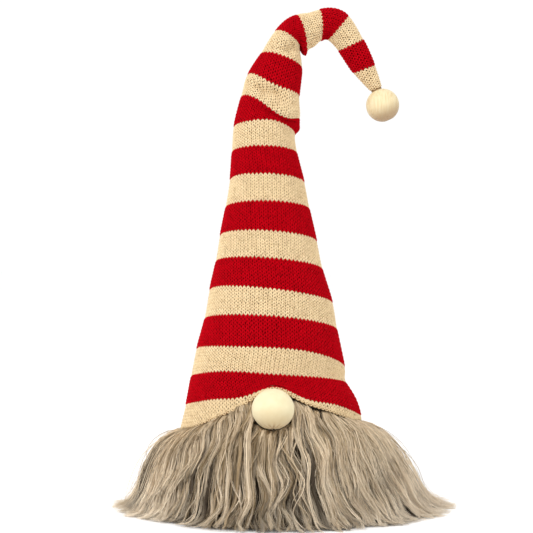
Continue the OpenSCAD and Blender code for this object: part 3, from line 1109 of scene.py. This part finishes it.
def strand_spread(psi, strands, half_width, share, rng):
    """How each strand runs in its lock: round the beard, off it, and on which side of the lock.

    The last value is the lock's half width. The first strand is the middle of the lock itself.
    """
    count = len(psi)
    airy = np.sin(psi[:, None]) ** 4
    loose = rng.random((count, strands)) < 0.12 + 0.18 * airy
    angle = rng.uniform(0, 2 * math.pi, (count, strands))
    lock_width = rng.uniform(*half_width, (count, 1))
    distance = np.sqrt(rng.uniform(0.1, 1, (count, strands))) * lock_width
    distance[:, 0] = 0
    fanned = rng.uniform(-1.2, 0.0, (count, strands))
    drawn_in = rng.uniform(0.2, 0.75, (count, strands))
    gather = np.where(loose, fanned, drawn_in)[..., None] * share**1.5
    width = distance[..., None] * (0.6 + 0.4 * ease(share * 4)) * (1 - gather)
    turned = angle[..., None] + rng.normal(0, 1.5, (count, 1, 1)) * share
    stray = waves(rng, (count, strands), 0.7, (1.0, 3.4), share)
    stray = calm_sides(psi)[:, None, None] * stray * np.where(loose, 1.8, 0.45)[..., None]
    fly = np.where(loose, np.abs(rng.normal(0, 1.8, (count, strands))) * (1 + 1.2 * airy), 0)
    fly = fly[..., None] * np.sin(math.pi * share)
    stray[:, 0] = 0
    fly[:, 0] = 0
    around = width * np.cos(turned) + stray
    off = width * np.sin(turned) * 0.6 + stray * 0.4 + fly
    return around, off, np.sin(angle) * distance, lock_width


def strand_points(psi, radii, heights, u, across, deep):
    """Points of strands that run beside their locks' profiles, clear of the nose and the floor."""
    radii = [value[:, None, None] for value in radii]
    heights = [value[:, None, None] for value in heights]
    r, z = bezier(*radii, u), bezier(*heights, u)
    way_r, way_z = bezier_way(*radii, u), bezier_way(*heights, u)
    steepness = np.hypot(way_r, way_z)
    r, z = r - deep * way_z / steepness, z + deep * way_r / steepness
    around = psi[:, None, None] + across / np.maximum(r, 45)
    points = clear_of_nose(np.stack([r * np.sin(around), -r * np.cos(around), z], -1))
    points[..., 2] = np.maximum(points[..., 2], 0.45)
    return points


def coat_of_locks(coat, rng):
    """Paths of a coat's locks and of their strands, with their tone, shade and lock width."""
    count, strands, half_width, depth, roots, wavy = coat
    psi, radii, heights = lock_profiles(count, depth, roots, rng)
    reach = np.where(rng.random(count) < 0.15, rng.uniform(0.7, 0.92, count), 1.0)[:, None]
    share = np.linspace(0, 1, STRAND_POINTS)[None, None, :]
    length = reach * rng.uniform(0.86, 1.02, (count, strands))
    length[:, 0] = reach[:, 0] * 0.86
    u = share * length[..., None]
    sway, ripple = lock_sway(psi, wavy, u, rng)
    around, off, standing, lock_width = strand_spread(psi, strands, half_width, share, rng)
    points = strand_points(psi, radii, heights, u, sway + around, ripple + off)

    place = psi[:, None, None]
    sine = np.sin(place)
    # painted highlight: the fibre is paler towards the sides and the side tips
    painted_side_highlight = sine**2 * (0.3 + 0.8 * u**2) + 0.3 * sine**6 + 0.35 * sine**4 * u**6
    tone = rng.normal(0.46, 0.22, (count, strands)) + rng.normal(0, 0.22, (count, 1))
    # a little lighter to the right, and painted light in the front middle against the nose's shadow
    tone = tone[..., None] + 0.1 * sine + painted_side_highlight + 0.1 * bump(place, 0.25)
    # painted shade: deeper coats, strands lying inside their lock and the partings are darker, with random
    # darkness for each lock; less at the side tips
    shade = 0.09 * depth - 0.1 * standing + rng.normal(0, 0.17, (count, 1))
    shade = shade[..., None] + 1.15 * min(1, 0.5 + 0.2 * depth) * parting(place, u)
    shade = shade * (1 - 0.85 * sine**4 * u**2)
    return dict(
        points=points,
        along=u,
        tone=np.clip(tone, 0, 1),
        shade=np.clip(shade, 0, 0.95),
        lock_width=lock_width[:, 0],
    )


def clear_of_nose(points):
    """Strands part round the nose: points inside it move sideways or back to its skin."""
    away = points - NOSE_CENTRE
    inside = np.linalg.norm(away, axis=-1, keepdims=True) < NOSE_R + 0.8
    away[..., 1] = np.maximum(away[..., 1], 0)
    return np.where(inside, NOSE_CENTRE + unit_rows(away) * (NOSE_R + 0.8), points)


def tubes(paths, wide, thick, sides):
    """Closed tubes along many paths at once; wide lies round the beard and thick stands off it."""
    way = unit_rows(np.gradient(paths, axis=1))
    across = unit_rows(np.cross(way, np.array([0.02, -0.02, 1.0])))
    up = np.cross(across, way)
    turn = np.linspace(0, 2 * math.pi, sides, endpoint=False)[:, None]
    rings = (
        paths[:, :, None]
        + wide[:, :, None, None] * np.cos(turn) * across[:, :, None]
        + thick[:, :, None, None] * np.sin(turn) * up[:, :, None]
    )
    rings[..., 2] = np.maximum(rings[..., 2], 0.15)
    steps = paths.shape[1]
    size = steps * sides
    starts = (np.arange(len(paths)) * size)[:, None, None]
    quads = grid_faces(steps, sides, closed=True)
    ring = np.arange(sides)
    caps = np.stack([ring[::-1], ring + size - sides])
    faces = [(block[None] + starts).reshape(-1, block.shape[1]) for block in (quads, caps)]
    return rings.reshape(-1, 3), faces


def pile_piece(name, paths, wide, thick, sides, along, tone, shade, lateral):
    """One mesh of many tubes, carrying for each point what the fibre's material needs."""
    points, faces = tubes(paths, wide, thick, sides)
    turn = np.cos(np.linspace(0, 2 * math.pi, sides, endpoint=False))
    values = {
        "along": along[..., None], "tone": tone[..., None], "shade": shade[..., None],
        "lateral": lateral[:, None, None] + wide[..., None] * turn,
    }
    values = {key: np.broadcast_to(value, (*along.shape, sides)) for key, value in values.items()}
    piece = make_piece(name, points, faces, FUR, **values)
    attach(piece, "body")
    return piece


def beard():
    """The pile: soft locks and the strands that run over them, on a bed of roots painted dark as shade."""
    rng = np.random.default_rng(SEED + 10)
    coats = [coat_of_locks(coat, rng) for coat in COATS]
    share = np.linspace(0, 1, STRAND_POINTS)[None, :]
    keys = ("points", "along", "tone", "shade")
    core = {key: np.concatenate([coat[key][:, 0] for coat in coats]) for key in keys}
    wide = np.concatenate([coat["lock_width"] for coat in coats])[:, None]
    wide = 0.75 * wide * (0.5 + 0.5 * ease(share * 4)) * (1 - 0.92 * share**2)
    bed_of_roots()
    # painted shade: the lock cores, under the strands, are drawn darker
    piece = pile_piece("beard_lock_cores", core["points"], wide, 0.5 * wide, 10, core["along"],
                       0.7 * core["tone"], core["shade"] + 0.15, rng.uniform(0, 400, len(wide)))
    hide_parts("beard_pile")

    strands = {
        key: np.concatenate([coat[key][:, 1:].reshape(-1, *coat[key].shape[2:]) for coat in coats])
        for key in keys
    }
    count = len(strands["shade"])
    radius = rng.uniform(0.17, 0.38, count)[:, None] * (1 - 0.75 * share**1.6)
    middle = strands["points"][:, STRAND_POINTS // 2]
    place = np.arctan2(middle[:, 0], -middle[:, 1]) / BEARD_HALF_ANGLE
    group = np.clip(((place + 1) / 2 * BEARD_GROUPS).astype(int), 0, BEARD_GROUPS - 1)
    lateral = rng.uniform(0, 400, count)
    for index in range(BEARD_GROUPS):
        own = group == index
        pile_piece(f"beard_strands_{index}", strands["points"][own], radius[own], radius[own], 3,
                   strands["along"][own], strands["tone"][own], strands["shade"][own], lateral[own])


def bed_of_roots():
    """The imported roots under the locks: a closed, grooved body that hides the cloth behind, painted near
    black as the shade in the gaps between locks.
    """
    columns, rows = 240, 28
    psi, share = np.meshgrid(
        np.linspace(-BEARD_HALF_ANGLE, BEARD_HALF_ANGLE, columns), np.linspace(0, 1, rows)
    )
    rim = hat_point(rim_row(psi), psi)
    root_r = np.hypot(rim[..., 0], rim[..., 1]) - 5
    root_z = np.where(np.abs(psi) < 0.3, np.minimum(rim[..., 2], NOSE_CENTRE[2]), rim[..., 2])
    grooves = 1.6 * np.sin(psi * 61 + 2 * np.sin(psi * 17)) + 1.2 * np.sin(psi * 113 + 1.3)
    r = bezier(root_r, root_r + 9, 84.0, foot_reach(psi) - 16, share) + grooves * np.sin(math.pi * share)
    z = bezier(root_z, root_z - 8, 14.0, 1.0, share)
    skin_r = BODY_R + 0.3 - 6 * np.clip((z - 50) / 50, 0, 1)
    edge = ease((BEARD_HALF_ANGLE - np.abs(psi)) / 0.3)
    r = skin_r + (r - skin_r) * (0.12 + 0.88 * edge)
    outer = np.stack([r * np.sin(psi), -r * np.cos(psi), z], -1)
    inner = np.stack([skin_r * np.sin(psi), -skin_r * np.cos(psi), z], -1)
    piece = slab_piece("beard_roots", outer, inner, UNDERFUR_PAINTED_SHADE)
    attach(piece, "body")


def slab_piece(name, outer, inner, material):
    """A closed solid between two open grids."""
    rows, columns = outer.shape[:2]
    count = rows * columns
    index = np.arange(count).reshape(rows, columns)
    front = grid_faces(rows, columns)
    back = front[:, ::-1] + count
    border = np.concatenate([index[0, :-1], index[:-1, -1], index[-1, :0:-1], index[:0:-1, 0]])
    beyond = np.roll(border, -1)
    edge = np.stack([border, border + count, beyond + count, beyond], 1)
    points = np.concatenate([outer.reshape(-1, 3), inner.reshape(-1, 3)])
    return make_piece(name, points, [front, back, edge], material)


# ---- CAD nodes that stay, with their materials ----


def dress_cad_nodes():
    """Materials for the CAD parts that are hidden, or that are already the true shape."""
    finishes = {
        "base_cloth": FELT, "base_card": CARD, "pellet_bag": COTTON, "pellets": PELLETS,
        "body_stuffing": STUFFING, "neck_thread": THREAD, "beard_backing": BACKING,
        "nose_thread": THREAD, "hat_wire_loop": WIRE,
        "bead_cord": THREAD, "cord_knot": THREAD,
    }
    for node, material in finishes.items():
        mesh = frame["nodes"][node].data
        mesh.materials.clear()
        mesh.materials.append(material)


# ---- Stage, light and camera ----

FLOOR_HALF = 40000.0
CAMERA_PLACE = (-3.8, -1000, 182)
CAMERA_LENS = 89.2


def stage():
    """A white floor, wide enough that its edge is never seen."""
    material = Nodes("pale_floor", Roughness=0.9, Specular_IOR_Level=0.1)
    material.shader.inputs["Base Color"].default_value = (0.99, 0.99, 0.99, 1)
    corners = [(x * FLOOR_HALF, y * FLOOR_HALF, 0) for x, y in ((-1, -1), (1, -1), (1, 1), (-1, 1))]
    faces = [np.array([[0, 1, 2, 3]])]
    floor = make_piece("floor", corners, faces, material.material, smooth_faces=False)


def soft_light(name, place, target, size, power):
    """A round area light aimed at a place."""
    light = bpy.data.lights.new(name, "AREA")
    light.shape = "DISK"
    light.size = size
    light.energy = power
    lamp = bpy.data.objects.new(name, light)
    lamp.location = place
    lamp.rotation_euler = (Vector(target) - Vector(place)).to_track_quat("-Z", "Y").to_euler()
    bpy.context.scene.collection.objects.link(lamp)


def lights():
    """An even white room with a soft key from the upper left and a weak fill."""
    world = bpy.data.worlds.new("pale_room")
    bpy.context.scene.world = world
    world.use_nodes = True
    background = world.node_tree.nodes["Background"]
    background.inputs["Color"].default_value = (1.0, 1.0, 1.0, 1)
    background.inputs["Strength"].default_value = 1.02
    soft_light("key", (-0.75, -1.0, 1.35), (0.0, 0.0, 0.15), 0.7, 12)
    soft_light("fill", (1.0, -0.9, 0.8), (0.0, 0.0, 0.15), 1.0, 1.5)
    bpy.context.scene.view_settings.view_transform = "Standard"


def camera():
    """A level view from the front, a metre away."""
    lens = bpy.data.cameras.new("camera")
    lens.sensor_width = 36
    lens.lens = CAMERA_LENS
    viewer = bpy.data.objects.new("camera", lens)
    viewer.location = np.array(CAMERA_PLACE) * MM
    viewer.rotation_euler = (math.radians(90), 0, 0)
    bpy.context.scene.collection.objects.link(viewer)
    bpy.context.scene.camera = viewer


camera()
lights()
stage()
knit_hat()
rim_hem()
hat_stuffing()
hat_wire()
wooden_bead()
body_sack()
body_stitches()
stuffed_nose()
beard()
dress_cad_nodes()
